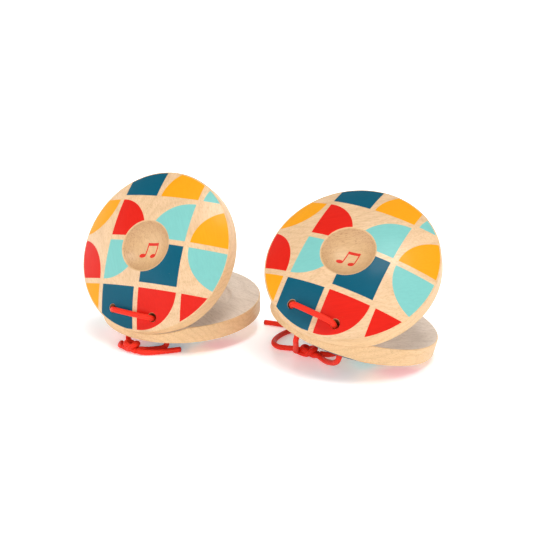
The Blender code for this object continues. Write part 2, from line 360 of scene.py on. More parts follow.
def wood(name, light, dark, line_colour, contrast, roughness, coat, pore_share=0.4, cut=False, bowl=0.0):
    shader = Shader(name)
    line, streaks, pores, cloud = wood_signals(shader)
    tone = shader.math("MULTIPLY_ADD", streaks, 1.5, -0.42, clamp=True)
    colour = shader.mix(tone, light, dark)
    colour = shader.mix(shader.math("MULTIPLY", line, contrast), colour, line_colour)
    colour = shader.mix(shader.math("MULTIPLY", pores, pore_share * 0.5), colour, line_colour)
    shade = shader.ramp(cloud, [(0.25, 0.93), (0.75, 1.0)], "LINEAR")
    colour = shader.mix(1.0, colour, shade, "MULTIPLY")
    if bowl:
        # painted shade: the dimple's wood is darkened up the sides of its bowl, all round, more where the pores
        # fall, and left pale at the lip
        side = shader.math("MULTIPLY", shader.attribute("tool", "Fac"), 1 / DIMPLE_RADIUS)
        side = shader.ramp(side, [(0.3, 0.0), (0.9, 0.9), (0.97, 1.0), (1.0, 0.0)], "LINEAR")
        flecks = shader.math("MULTIPLY_ADD", pores, 0.7, 0.6)
        bowl_shade = shader.math("MULTIPLY", shader.math("MULTIPLY", side, flecks), bowl)
        colour = shader.mix(bowl_shade, colour, line_colour)
    shader.set(Base_Color=colour)
    rough = shader.math("MULTIPLY_ADD", streaks, 0.16, roughness - 0.08)
    shader.set(Roughness=rough)
    height = shader.math("MULTIPLY_ADD", streaks, 0.6, shader.math("MULTIPLY", pores, -0.5))
    depth = 0.05
    if cut:
        # fine rings left by the lathe tool
        tool = shader.math("SINE", shader.math("MULTIPLY", shader.attribute("tool", "Fac"), 9.0))
        height = shader.math("MULTIPLY_ADD", tool, 0.22, height)
    shader.set(Normal=shader.bump(height, depth, 0.55))
    shader.principled.inputs["Coat Weight"].default_value = coat
    shader.principled.inputs["Coat Roughness"].default_value = 0.22
    shader.principled.inputs["Specular IOR Level"].default_value = 0.4
    return shader.material


def paint(name, colour, wear):
    """Screen-printed paint: the wood's grain still shows a little through it."""
    shader = Shader(name)
    line, streaks, pores, cloud = wood_signals(shader)
    r, g, b, _ = colour
    deep = (r * 0.90, g * 0.90, b * 0.91, 1.0)
    pale = tuple(min(1.0, c * 1.05 + 0.003) for c in (r, g, b)) + (1.0,)
    tone = shader.math("MULTIPLY_ADD", streaks, 1.3, -0.25, clamp=True)
    body = shader.mix(tone, deep, pale)
    dots = shader.scaled(shader.attribute("grain"), (3.2, 2.2, 3.2), (11.0, 4.0, 2.0))
    specks = shader.ramp(
        shader.noise(dots, detail=3.0),
        [(0.71, 0.0), (0.78, 1.0)],
        "LINEAR",
    )
    body = shader.mix(shader.math("MULTIPLY", specks, wear), body, MAPLE_DARK)
    body = shader.mix(shader.math("MULTIPLY", line, 0.10), body, deep)
    shader.set(Base_Color=body)
    mottle = shader.noise(shader.scaled(shader.attribute("grain"), (1.1, 1.1, 1.1)), detail=2.0)
    shader.set(Roughness=shader.math("MULTIPLY_ADD", mottle, 0.16, 0.34))
    height = shader.math("MULTIPLY_ADD", streaks, 0.5, shader.math("MULTIPLY", pores, -0.25))
    height = shader.math("MULTIPLY_ADD", mottle, 0.5, height)
    shader.set(Normal=shader.bump(height, 0.04, 0.5))
    shader.principled.inputs["Coat Weight"].default_value = 0.06
    shader.principled.inputs["Coat Roughness"].default_value = 0.12
    shader.principled.inputs["Specular IOR Level"].default_value = 0.1
    return shader.material


SURFACES = {
    "dome": wood("maple_dome", MAPLE_LIGHT, MAPLE_DARK, MAPLE_LINE, 0.3, 0.42, 0.16, pore_share=1.0),
    # The dimple's wood carries painted shade up the sides of its bowl (bowl=0.75).
    "dimple": wood(
        "maple_dimple", srgb(224, 186, 138), srgb(206, 166, 120), srgb(168, 122, 78), 0.2, 0.5, 0.1,
        pore_share=0.6, cut=True, bowl=0.75,
    ),
    "wall": wood(
        "maple_wall", WARM_LIGHT, WARM_DARK, MAPLE_LINE, 0.3, 0.48, 0.12, pore_share=1.0, cut=True
    ),
    "inner": wood(
        "maple_inner", BARE_LIGHT, BARE_DARK, srgb(176, 150, 126), 0.25, 0.62, 0.0, pore_share=0.9, cut=True
    ),
    "hole": wood(
        "maple_hole", srgb(178, 126, 78), HOLE_BROWN, srgb(110, 68, 38), 0.5, 0.7, 0.0, pore_share=0.8
    ),
    "blue": paint("print_blue", BLUE, 0.12),
    "mint": paint("print_mint", MINT, 0.15),
    "red": paint("print_red", RED, 0.12),
    "yellow": paint("print_yellow", YELLOW, 0.15),
    "ink": paint("print_ink", INK, 0.5),
}
SURFACE_NAMES = list(SURFACES)


# ---------------------------------------------------------------- shell surfaces


def smooth_min(a, b, width):
    """The lower of two heights, with the corner where they meet rounded over about that width."""
    h = np.clip(0.5 + 0.5 * (b - a) / width, 0.0, 1.0)
    return b + (a - b) * h - width * h * (1.0 - h)


def mouth_drop(x, y):
    """How far a hole's rounded mouth lies below the surface around it."""
    drop = np.zeros_like(x)
    for hx, hy in HOLES:
        inside = HOLE_RADIUS + MOUTH_ROUND - np.hypot(x - hx, y - hy)
        inside = np.clip(inside, 0.0, MOUTH_ROUND)
        drop = drop + MOUTH_ROUND - np.sqrt(np.maximum(MOUTH_ROUND**2 - inside**2, 0.0))
    return drop


def outer_surface(x, y):
    """Height of the domed face with its finger dimple, at points of the shell."""
    r = np.hypot(x, y - RIDGE_OFFSET)
    base = FACE_GAP / 2 + WALL_HEIGHT + DOME_RISE - SPHERE
    dome = base + np.sqrt(SPHERE**2 - np.minimum(r, SHELL_RADIUS) ** 2)
    bowl = (DIMPLE_RADIUS**2 + DIMPLE_DEPTH**2) / (2 * DIMPLE_DEPTH)
    lip = base + math.sqrt(SPHERE**2 - DIMPLE_RADIUS**2) - 0.2
    reach = np.minimum(r, bowl * 0.985)
    dimple = lip - DIMPLE_DEPTH + bowl - np.sqrt(bowl**2 - reach**2)
    dimple = dimple + np.maximum(r - reach, 0.0) * 6.0
    return smooth_min(dome, dimple, LIP_ROUND) - mouth_drop(x, y)


def inner_surface(x, y):
    """Height of the flat face with its recess and the bevel on the hinge's side."""
    r = np.hypot(x, y - RIDGE_OFFSET)
    corner = np.clip(r - (RECESS_RADIUS - RECESS_DEPTH), 0.0, RECESS_DEPTH)
    recess = np.sqrt(np.maximum(RECESS_DEPTH**2 - corner**2, 0.0))
    softened = np.clip((RECESS_RADIUS + 0.35 - r) / 0.35, 0.0, 1.0) ** 2 * 0.22
    recess = np.where(r < RECESS_RADIUS - 0.06, np.maximum(recess, softened), softened)
    bevel = -smooth_min(np.zeros_like(y), y * math.tan(BEVEL_ANGLE), RIDGE_ROUND)
    return FACE_GAP / 2 + recess + bevel + mouth_drop(x, y)


def slope_normals(surface, x, y, sign):
    """Unit normals of a height surface, up for sign 1 and down for -1."""
    step = 0.02
    dx = (surface(x + step, y) - surface(x - step, y)) / (2 * step)
    dy = (surface(x, y + step) - surface(x, y - step)) / (2 * step)
    normals = np.stack([-dx, -dy, np.ones_like(dx)], axis=1) * sign
    return normals / np.linalg.norm(normals, axis=1, keepdims=True)


def ring_points(radius, count, centre=(0.0, RIDGE_OFFSET)):
    angles = 2 * np.pi * np.arange(count) / count
    return np.stack([centre[0] + radius * np.cos(angles), centre[1] + radius * np.sin(angles)], axis=1)


# ---------------------------------------------------------------- print pattern

R = SHELL_RADIUS
PRINT_TURN = math.radians(4.4)
PRINT_RIM = 29.5
PRINT_DIMPLE = DIMPLE_RADIUS + 0.28
ARC_STEPS = 26
# Share of a hole's rounded mouth that the print leaves bare, and how far the face's grid stays inside its edge.
BARE_MOUTH = 0.3
GRID_MARGIN = 0.3

# The mark's size, its place from the shell's axis, the slant of its heads and the radius that it stays within.
NOTE_SCALE = 1.6
NOTE_PLACE = (0.2, -0.8)
NOTE_SLANT = 0.38
NOTE_REACH = 6.0

# The print is a square pattern of equal cells. Its lower left corner is given from the shell's axis.
PRINT_CELL = 14.3
PRINT_PITCH = 16.15
PRINT_CORNER = (-31.8, -29.25)
# Its rows, from the hinge outwards. Each cell has a colour and either a full block or a quarter disc, which
# is named by the corner that it fills.
PATTERN = [
    [("yellow", "block"), ("blue", "block"), ("red", "top left"), ("red", "block")],
    [("red", "bottom left"), ("mint", "top left"), ("blue", "block"), ("mint", "top right")],
    [("yellow", "top left"), ("red", "bottom left"), ("mint", "bottom right"), ("yellow", "bottom right")],
    [None, ("blue", "block"), ("yellow", "bottom right"), ("mint", "bottom right")],
]


def cell_outline(shape):
    """Outline of a block or a quarter disc in a cell whose lower left corner is at 0, 0."""
    if shape == "block":
        return np.array([(0.0, 0.0), (1.0, 0.0), (1.0, 1.0), (0.0, 1.0)]) * PRINT_CELL
    height, side = shape.split()
    corner = np.array([float(side == "right"), float(height == "top")])
    angles = np.linspace(0.0, np.pi / 2, ARC_STEPS + 1)
    arc = np.stack([np.cos(angles), np.sin(angles)], axis=1)
    return np.concatenate([[corner], corner + (1 - 2 * corner) * arc]) * PRINT_CELL


def patch_outlines():
    """(colour, closed outline) of each patch, in the shell's own coordinates."""
    c, s = math.cos(PRINT_TURN), math.sin(PRINT_TURN)
    placed = []
    for row, cells in enumerate(PATTERN):
        for column, cell in enumerate(cells):
            if cell is None:
                continue
            colour, shape = cell
            corner = np.array(PRINT_CORNER) + np.array([column, row]) * PRINT_PITCH
            turned = (cell_outline(shape) + corner) @ np.array([[c, s], [-s, c]])
            placed.append((colour, turned + np.array([0.0, RIDGE_OFFSET])))
    return placed


def note_outlines():
    """A pair of beamed quavers, in the shell's own coordinates: a generic mark in the dimple."""
    outlines = []
    for x, y in ((-1.35, -1.55), (1.15, -1.15)):
        angles = np.linspace(0.0, 2 * np.pi, 25)[:-1]
        c, s = math.cos(NOTE_SLANT), math.sin(NOTE_SLANT)
        ex, ey = 0.72 * np.cos(angles), 0.5 * np.sin(angles)
        outlines.append(np.stack([x + ex * c - ey * s, y + ex * s + ey * c], axis=1))
        left, right = x + 0.42, x + 0.69
        outlines.append(np.array([(left, y), (right, y + 0.2), (right, y + 3.15), (left, y + 3.1)]))
    outlines.append(np.array([(-0.93, 0.95), (1.84, 1.35), (1.84, 2.0), (-0.93, 1.6)]))
    place = np.array([NOTE_PLACE[0], RIDGE_OFFSET + NOTE_PLACE[1]])
    return [points * NOTE_SCALE + place for points in outlines]


def inside_outline(points, outline):
    """Which points lie inside a closed outline (even-odd rule)."""
    x, y = points[:, 0], points[:, 1]
    inside = np.zeros(len(points), bool)
    for (x0, y0), (x1, y1) in zip(outline, np.roll(outline, -1, axis=0)):
        crosses = (y0 > y) != (y1 > y)
        at = x0 + (y - y0) * (x1 - x0) / (y1 - y0 + 1e-12)
        inside ^= crosses & (x < at)
    return inside


def clipped(start, end, radius_low, radius_high):
    """Stretches of the segment within the ring between two radii round the shell's axis."""
    centre = np.array([0.0, RIDGE_OFFSET])
    cuts = [0.0, 1.0]
    d, f = end - start, start - centre
    for radius in (radius_low, radius_high):
        a, b, c = d @ d, 2 * f @ d, f @ f - radius * radius
        root = b * b - 4 * a * c
        if root > 0:
            crossings = ((-b - math.sqrt(root)) / (2 * a), (-b + math.sqrt(root)) / (2 * a))
            cuts += [t for t in crossings if 0 < t < 1]
    cuts.sort()
    kept = []
    for t0, t1 in zip(cuts, cuts[1:]):
        middle = np.linalg.norm(f + d * (t0 + t1) / 2)
        if radius_low < middle < radius_high and (t1 - t0) * math.sqrt(d @ d) > 1e-3:
            kept.append((start + d * t0, start + d * t1))
    return kept


# ---------------------------------------------------------------- shell mesh


def triangulated(rings, segments, grid_radius, spacing):
    """Triangles over the shell's disc, with the given closed rings and segments as edges."""
    points, edges = [], []

    def add(stretch, closed):
        first = len(points)
        points.extend((float(x), float(y)) for x, y in stretch)
        count = len(stretch)
        edges.extend((first + i, first + i + 1) for i in range(count - 1))
        if closed:
            edges.append((first + count - 1, first))

    for ring in rings:
        add(ring, True)
    for start, end in segments:
        pieces = max(1, round(float(np.linalg.norm(end - start)) / spacing))
        add([start + (end - start) * i / pieces for i in range(pieces + 1)], False)
    fixed = np.array(points)
    rows = np.arange(-R, R, spacing * 0.866)
    grid = []
    for index, v in enumerate(rows):
        us = np.arange(-R, R, spacing) + (index % 2) * spacing / 2
        grid.append(np.stack([us, np.full_like(us, v + RIDGE_OFFSET)], axis=1))
    grid = np.concatenate(grid)
    radius = np.hypot(grid[:, 0], grid[:, 1] - RIDGE_OFFSET)
    grid = grid[radius < grid_radius]
    near = np.min(np.linalg.norm(grid[:, None, :] - fixed[None, :, :], axis=2), axis=1)
    grid = grid[near > spacing * 0.45]
    points.extend((float(x), float(y)) for x, y in grid)
    made = delaunay_2d_cdt([Vector(p) for p in points], edges, [], 0, 1e-6)
    where = np.array([tuple(v) for v in made[0]])
    faces = np.array([f for f in made[2] if len(f) == 3])
    middle = where[faces].mean(axis=1)
    keep = np.ones(len(faces), bool)
    for hx, hy in HOLES:
        keep &= np.hypot(middle[:, 0] - hx, middle[:, 1] - hy) > HOLE_RADIUS * 0.99
    faces = faces[keep]
    a, b, c = (where[faces[:, i]] for i in range(3))
    turn = (b[:, 0] - a[:, 0]) * (c[:, 1] - a[:, 1]) - (b[:, 1] - a[:, 1]) * (c[:, 0] - a[:, 0])
    faces[turn < 0] = faces[turn < 0][:, ::-1]
    return where, faces[np.abs(turn) > 1e-9]


def hole_rings():
    rings = []
    for centre in HOLES:
        for share in (0.0, 0.2, 0.45, 0.72, 1.0):
            rings.append(ring_points(HOLE_RADIUS + MOUTH_ROUND * share, HOLE_SEGMENTS, centre))
    return rings


def outer_faces():
    rings = [ring_points(R - RIM_ROUND, RIM_SEGMENTS), ring_points(PRINT_RIM, RIM_SEGMENTS)]
    for radius in (4.8, 6.0, 7.1, 8.0, 8.6, 8.95, 9.12, 9.25, PRINT_DIMPLE, 9.8, 10.3):
        rings.append(ring_points(radius, int(radius * 13)))
    rings += hole_rings()
    patches = patch_outlines()
    segments = []
    for _, outline in patches:
        for start, end in zip(outline, np.roll(outline, -1, axis=0)):
            segments += clipped(start, end, PRINT_DIMPLE, PRINT_RIM)
    notes = note_outlines()
    for outline in notes:
        for start, end in zip(outline, np.roll(outline, -1, axis=0)):
            segments.append((start, end))
    where, faces = triangulated(rings, segments, R - RIM_ROUND - GRID_MARGIN, GRID_STEP)
    middle = where[faces].mean(axis=1)
    radius = np.hypot(middle[:, 0], middle[:, 1] - RIDGE_OFFSET)
    kind = np.full(len(faces), SURFACE_NAMES.index("dome"))
    kind[radius < PRINT_DIMPLE] = SURFACE_NAMES.index("dimple")
    printed = (radius > PRINT_DIMPLE) & (radius < PRINT_RIM)
    for hx, hy in HOLES:
        printed &= np.hypot(middle[:, 0] - hx, middle[:, 1] - hy) > HOLE_RADIUS + MOUTH_ROUND * BARE_MOUTH
    for colour, outline in patches:
        kind[printed & inside_outline(middle, outline)] = SURFACE_NAMES.index(colour)
    for outline in notes:
        kind[(radius < NOTE_REACH) & inside_outline(middle, outline)] = SURFACE_NAMES.index("ink")
    return where, faces, kind


def inner_faces():
    rings = [ring_points(R - LOW_ROUND, RIM_SEGMENTS)]
    for radius in (16.6, 17.3, 17.9, 18.35, 18.65, 18.82, 18.92, 19.0, 19.12, 19.35):
        rings.append(ring_points(radius, 200))
    rings += hole_rings()
    segments = []
    for y in (-0.35, -0.18, 0.0, 0.18, 0.35):
        half = math.sqrt((R - LOW_ROUND) ** 2 - (y - RIDGE_OFFSET) ** 2)
        marks = [-half, half]
        for hx, hy in HOLES:
            gap = math.sqrt(max((HOLE_RADIUS + MOUTH_ROUND) ** 2 - (y - hy) ** 2, 0.0))
            marks += [hx - gap, hx + gap]
        marks.sort()
        for index in (0, 2, 4):
            segments.append((np.array([marks[index], y]), np.array([marks[index + 1], y])))
    where, faces = triangulated(rings, segments, R - LOW_ROUND - GRID_MARGIN, GRID_STEP)
    kind = np.full(len(faces), SURFACE_NAMES.index("inner"))
    return where, faces, kind


def wall_rings():
    """Rings of points from the inner face's edge up to the outer face's edge, with normals."""
    angles = 2 * np.pi * np.arange(RIM_SEGMENTS) / RIM_SEGMENTS
    across = np.stack([np.cos(angles), np.sin(angles)], axis=1)
    centre = np.array([0.0, RIDGE_OFFSET])
    low_at = centre + across * (R - LOW_ROUND)
    high_at = centre + across * (R - RIM_ROUND)
    low = inner_surface(low_at[:, 0], low_at[:, 1])
    high = outer_surface(high_at[:, 0], high_at[:, 1])
    low_normal = slope_normals(inner_surface, low_at[:, 0], low_at[:, 1], -1)
    high_normal = slope_normals(outer_surface, high_at[:, 0], high_at[:, 1], 1)
    outward = np.concatenate([across, np.zeros((RIM_SEGMENTS, 1))], axis=1)
    places, normals = [], []

    def add(radius, height, share, normal):
        flat = centre + across * radius
        places.append(np.concatenate([flat, height[:, None]], axis=1))
        mixed = outward * share + normal * (1 - share)
        normals.append(mixed / np.linalg.norm(mixed, axis=1, keepdims=True))

    steps = 5
    for step in range(steps + 1):
        angle = math.pi / 2 * step / steps
        radius = R - LOW_ROUND + LOW_ROUND * math.sin(angle)
        add(radius, low + LOW_ROUND * (1 - math.cos(angle)), math.sin(angle), low_normal)
    bottom, top = low + LOW_ROUND, high - RIM_ROUND
    for step in range(1, 6):
        add(R, bottom + (top - bottom) * step / 6, 1.0, high_normal)
    for step in range(steps + 1):
        angle = math.pi / 2 * (1 - step / steps)
        radius = R - RIM_ROUND + RIM_ROUND * math.sin(angle)
        add(radius, high - RIM_ROUND * (1 - math.cos(angle)), math.sin(angle), high_normal)
    return places, normals


def shell_data():
    """Vertices, faces, face kinds and corner normals of a shell, in millimetres."""
    vertices, normals, faces, kinds = [], [], [], []

    def add_surface(where, triangles, kind, surface, sign):
        first = sum(len(v) for v in vertices)
        heights = surface(where[:, 0], where[:, 1])
        vertices.append(np.concatenate([where, heights[:, None]], axis=1))
        normals.append(slope_normals(surface, where[:, 0], where[:, 1], sign))
        for triangle, k in zip(triangles, kind):
            corners = triangle if sign > 0 else triangle[::-1]
            faces.append([int(first + c) for c in corners])
            kinds.append(int(k))

    def add_strip(places, strip_normals, kind, flip):
        first = sum(len(v) for v in vertices)
        count = len(places[0])
        for place, normal in zip(places, strip_normals):
            vertices.append(place)
            normals.append(normal)
        for row in range(len(places) - 1):
            for i in range(count):
                j = (i + 1) % count
                quad = [
                    first + row * count + i,
                    first + row * count + j,
                    first + (row + 1) * count + j,
                    first + (row + 1) * count + i,
                ]
                faces.append(quad[::-1] if flip else quad)
                kinds.append(kind)

    add_surface(*outer_faces(), outer_surface, 1)
    add_surface(*inner_faces(), inner_surface, -1)
    places, wall_normals = wall_rings()
    add_strip(places, wall_normals, SURFACE_NAMES.index("wall"), False)
    for centre in HOLES:
        ring = ring_points(HOLE_RADIUS, HOLE_SEGMENTS, centre)
        high = outer_surface(ring[:, 0], ring[:, 1])
        low = inner_surface(ring[:, 0], ring[:, 1])
        inward = np.concatenate([np.array(centre) - ring, np.zeros((HOLE_SEGMENTS, 1))], axis=1)
        inward = inward / HOLE_RADIUS
        rows = 9
        places = []
        for row in range(rows + 1):
            height = low + (high - low) * row / rows
            places.append(np.concatenate([ring, height[:, None]], axis=1))
        add_strip(places, [inward] * (rows + 1), SURFACE_NAMES.index("hole"), True)
    return np.concatenate(vertices), np.concatenate(normals), faces, kinds


SHELL = shell_data()


def make_shell(name, matrix, body, grain_turn, grain_place, board_depth):
    """One shell. Its grain is cut from its own place in a board: fibres at grain_turn to Y."""
    points, normals, faces, kinds = SHELL
    mesh = bpy.data.meshes.new(name)
    turn = np.array(matrix.to_3x3())
    placed = points * MM @ turn.T + np.array(matrix.translation)
    mesh.from_pydata([tuple(p) for p in placed], [], faces)
    for key in SURFACE_NAMES:
        mesh.materials.append(SURFACES[key])
    mesh.polygons.foreach_set("material_index", kinds)
    c, s = math.cos(grain_turn), math.sin(grain_turn)
    turned = points.copy()
    x, y = points[:, 0], points[:, 1] - RIDGE_OFFSET
    turned[:, 0] = c * x + s * y + grain_place
    turned[:, 1] = -s * x + c * y + grain_place * 7.3
    turned[:, 2] = points[:, 2] + board_depth
    grain = mesh.attributes.new("grain", "FLOAT_VECTOR", "POINT")
    grain.data.foreach_set("vector", turned.astype(np.float32).ravel())
    tool = mesh.attributes.new("tool", "FLOAT", "POINT")
    radial = np.hypot(points[:, 0], points[:, 1] - RIDGE_OFFSET)
    spiral = np.where(radial > R - 0.05, points[:, 2] * 1.4, radial)
    tool.data.foreach_set("value", spiral.astype(np.float32))
    mesh.polygons.foreach_set("use_smooth", [True] * len(faces))
    corner = np.zeros(len(mesh.loops), np.int32)
    mesh.loops.foreach_get("vertex_index", corner)
    mesh.normals_split_custom_set([tuple(n) for n in (normals @ turn.T)[corner]])
    obj = bpy.data.objects.new(name, mesh)
    bpy.context.scene.collection.objects.link(obj)
    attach(obj, body)
    return obj


# ---------------------------------------------------------------- cords

# Reds of the cord: a lit orange red for the yarns' tops, a shaded red for their flanks, and a dark red of
# painted shade for the crevices between the yarns.
CORD_LIT = srgb(252, 50, 16)
CORD_SHADED = srgb(196, 18, 16)
CORD_CREVICE_SHADE_AND_MELT = srgb(112, 6, 12)


def cord_material():
    shader = Shader("braided_elastic")
    ridge = shader.attribute("ridge", "Fac")
    fuzz = shader.noise(shader.scaled(shader.attribute("fibre"), (26.0, 2.2, 1.0)), detail=2.0)
    # Painted shade and light: by the braid's height ("ridge"), the crevices between the yarns darken and the
    # yarns' tops turn a lit orange red, varied by a noise along the fibres.
    colour = shader.mix(shader.ramp(ridge, [(0.0, 0.0), (0.55, 0.75), (1.0, 1.0)]), CORD_CREVICE_SHADE_AND_MELT, CORD_SHADED)
    painted_lit_tops = shader.math("MULTIPLY", shader.math("MULTIPLY_ADD", fuzz, 0.9, 0.35), ridge, clamp=True)
    colour = shader.mix(painted_lit_tops, colour, CORD_LIT)
    shader.set(Base_Color=colour, Roughness=shader.math("MULTIPLY_ADD", fuzz, 0.2, 0.42))
    shader.set(Normal=shader.bump(fuzz, 0.05, 0.5))
    shader.principled.inputs["Sheen Weight"].default_value = 0.12
    shader.principled.inputs["Sheen Roughness"].default_value = 0.4
    shader.principled.inputs["Sheen Tint"].default_value = srgb(255, 120, 90)
    shader.principled.inputs["Specular IOR Level"].default_value = 0.25
    return shader.material


CORD = cord_material()


def smooth_route(points, step):
    """Points about one step apart on a smooth curve through the given ones (centripetal Catmull-Rom)."""
    points = [Vector(p) for p in points]
    padded = [2 * points[0] - points[1]] + points + [2 * points[-1] - points[-2]]
    route = [points[0]]
    for index in range(1, len(padded) - 2):
        p0, p1, p2, p3 = padded[index - 1 : index + 3]
        t1 = max((p1 - p0).length, 1e-7) ** 0.5
        t2 = t1 + max((p2 - p1).length, 1e-7) ** 0.5
        t3 = t2 + max((p3 - p2).length, 1e-7) ** 0.5
        pieces = max(2, round((p2 - p1).length / step))
        for piece in range(1, pieces + 1):
            t = t1 + (t2 - t1) * piece / pieces
            a1 = p0 * (1 - t / t1) + p1 * (t / t1)
            a2 = p1 * ((t2 - t) / (t2 - t1)) + p2 * ((t - t1) / (t2 - t1))
            a3 = p2 * ((t3 - t) / (t3 - t2)) + p3 * ((t - t2) / (t3 - t2))
            b1 = a1 * ((t2 - t) / t2) + a2 * (t / t2)
            b2 = a2 * ((t3 - t) / (t3 - t1)) + a3 * ((t - t1) / (t3 - t1))
            route.append(b1 * ((t2 - t) / (t2 - t1)) + b2 * ((t - t1) / (t2 - t1)))
    return route


def even_route(points, step):
    """The same line with evenly spaced points."""
    line = np.array([tuple(p) for p in smooth_route(points, step)])
    along = np.concatenate([[0.0], np.cumsum(np.linalg.norm(np.diff(line, axis=0), axis=1))])
    count = max(6, int(round(along[-1] / step)) + 1)
    at = np.linspace(0.0, along[-1], count)
    return np.stack([np.interp(at, along, line[:, k]) for k in range(3)], axis=1), at


YARNS = 8
YARN_PITCH = 6.4
YARN_HEIGHT = 0.13


def braid(angle, along):
    """Height 0 to 1 of a two-way braid's surface, and a coordinate pair along its fibres."""
    a = YARNS * angle / (2 * np.pi) + along * YARNS / (2 * YARN_PITCH)
    b = YARNS * angle / (2 * np.pi) - along * YARNS / (2 * YARN_PITCH)
    fa, fb = a - np.floor(a) - 0.5, b - np.floor(b) - 0.5
    ia, ib = np.floor(a), np.floor(b)
    over = np.where((ia + ib) % 2 == 0, 1.0, -1.0)
    dome_a = np.sqrt(np.maximum(1 - (1.9 * fa) ** 2, 0.0))
    dome_b = np.sqrt(np.maximum(1 - (1.9 * fb) ** 2, 0.0))
    arch_a = np.cos(np.pi * fb) * over
    arch_b = -np.cos(np.pi * fa) * over
    height_a = dome_a * 0.62 + arch_a * 0.38
    height_b = dome_b * 0.62 + arch_b * 0.38
    top = height_a >= height_b
    height = np.clip(np.where(top, height_a, height_b), 0.0, 1.0)
    return height, np.where(top, fa, fb), np.where(top, b, a)

# How far a cord's end bulges past its last ring, in millimetres.
CORD_TIP = 0.12


def make_cord(name, points, body, radius=CORD_DIAMETER / 2, start_cap=0.5, end_cap=0.5, melted=False):
    """A braided tube along a route in the row frame. Returns it and the points down its middle."""
    middle, along = even_route(points, CORD_STEP * MM)
    tangent = np.gradient(middle, axis=0)
    tangent /= np.linalg.norm(tangent, axis=1, keepdims=True)
    side = np.cross(tangent[0], (0.0, 0.0, 1.0))
    if np.linalg.norm(side) < 0.1:
        side = np.cross(tangent[0], (0.0, 1.0, 0.0))
    side /= np.linalg.norm(side)
    sides = [side]
    for index in range(1, len(middle)):
        side = sides[-1] - tangent[index] * (sides[-1] @ tangent[index])
        sides.append(side / np.linalg.norm(side))
    sides = np.array(sides)
    ups = np.cross(tangent, sides)
    angles = 2 * np.pi * np.arange(CORD_SIDES) / CORD_SIDES
    along_mm = along / MM
    grid_angle, grid_along = np.meshgrid(angles, along_mm)
    height, fibre_across, fibre_along = braid(grid_angle, grid_along)
    reach = radius - YARN_HEIGHT + YARN_HEIGHT * height
    total = along_mm[-1]
    for distance, cap in ((along_mm, start_cap), (total - along_mm, end_cap)):
        share = np.clip(distance / cap, 0.0, 1.0)
        taper = np.sqrt(1 - (1 - share) ** 2) * 0.55 + 0.45
        reach = reach * taper[:, None]
    cosine, sine = np.cos(grid_angle)[:, :, None], np.sin(grid_angle)[:, :, None]
    outward = cosine * sides[:, None, :] + sine * ups[:, None, :]
    ring = middle[:, None, :] + MM * reach[:, :, None] * outward
    count = len(middle)
    tips = [middle[:1] - tangent[:1] * CORD_TIP * MM, middle[-1:] + tangent[-1:] * CORD_TIP * MM]
    vertices = np.concatenate([ring.reshape(-1, 3)] + tips)
    faces = []
    for row in range(count - 1):
        for i in range(CORD_SIDES):
            j = (i + 1) % CORD_SIDES
            first, second = row * CORD_SIDES, (row + 1) * CORD_SIDES
            faces.append((first + i, first + j, second + j, second + i))
    start_tip, end_tip, last = count * CORD_SIDES, count * CORD_SIDES + 1, (count - 1) * CORD_SIDES
    for i in range(CORD_SIDES):
        j = (i + 1) % CORD_SIDES
        faces.append((start_tip, j, i))
        faces.append((end_tip, last + i, last + j))
    mesh = bpy.data.meshes.new(name)
    mesh.from_pydata([tuple(v) for v in vertices], [], faces)
    mesh.polygons.foreach_set("use_smooth", [True] * len(faces))
    ridge = mesh.attributes.new("ridge", "FLOAT", "POINT")
    values = height.copy()
    # A melted end's last 1.1 mm fades to the darkest red, the colour that also paints shade in the crevices.
    if melted:
        values *= np.clip((total - along_mm) / 1.1, 0.0, 1.0)[:, None]
    tips = [0.2, 0.0]
    ridge.data.foreach_set("value", np.concatenate([values.ravel(), tips]).astype(np.float32))
    fibre = mesh.attributes.new("fibre", "FLOAT_VECTOR", "POINT")
    lines = np.stack([fibre_across.ravel(), fibre_along.ravel(), grid_along.ravel() * 0.01], axis=1)
    lines = np.concatenate([lines, np.zeros((2, 3))])
    fibre.data.foreach_set("vector", lines.astype(np.float32).ravel())
    mesh.materials.append(CORD)
    obj = bpy.data.objects.new(name, mesh)
    bpy.context.scene.collection.objects.link(obj)
    if body:
        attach(obj, body)
    return obj, middle


def bridge_points():
    """Out of one hole of the upper shell, over its outer face and into the other hole. The cord pulls
    against the inner sides of the holes and sags a little towards the hinge."""
    inset = HOLE_SPACING / 2
    line = RIDGE_OFFSET - HOLE_OFFSET
    mouth = outer_plain(math.hypot(inset, HOLE_OFFSET))
    top = outer_plain(HOLE_OFFSET) + CORD_DIAMETER / 2 + BRIDGE_SLACK
    half = [
        (inset, line, STRAND_START),
        (inset - 0.15, line - 0.1, mouth - 3.0),
        (inset - 0.3, line - 0.25, mouth - 1.2),
        (inset - 0.5, line - 0.4, mouth + 0.45),
        (inset - 1.5, line - 0.5, mouth + 1.55),
        (inset - 3.3, line - 0.6, top - 0.45),
    ]
    left = [(-x, y, z) for x, y, z in half]
    return left + [(0.0, line - 0.65, top - 0.25)] + half[::-1]


def outer_plain(radius):
    return FACE_GAP / 2 + WALL_HEIGHT + DOME_RISE - SPHERE + math.sqrt(SPHERE**2 - radius**2)


# A reef knot, in steps of KNOT_SCALE millimetres: one cord's half, whose legs point along -X. The other half is
# this one turned half round about Z.
KNOT_HALF = [
    (-2.30, 0.62, -0.30),
    (-1.45, 0.56, -0.50),
    (-0.75, 0.66, -0.28),
    (0.00, 0.86, 0.36),
    (0.70, 0.98, 0.58),
    (1.22, 0.62, 0.66),
    (1.38, 0.00, 0.68),
    (1.22, -0.62, 0.60),
    (0.70, -0.98, 0.20),
    (0.00, -0.86, -0.40),
    (-0.75, -0.66, -0.55),
    (-1.45, -0.56, -0.52),
    (-2.30, -0.62, -0.30),
]
KNOT_SCALE = 1.62


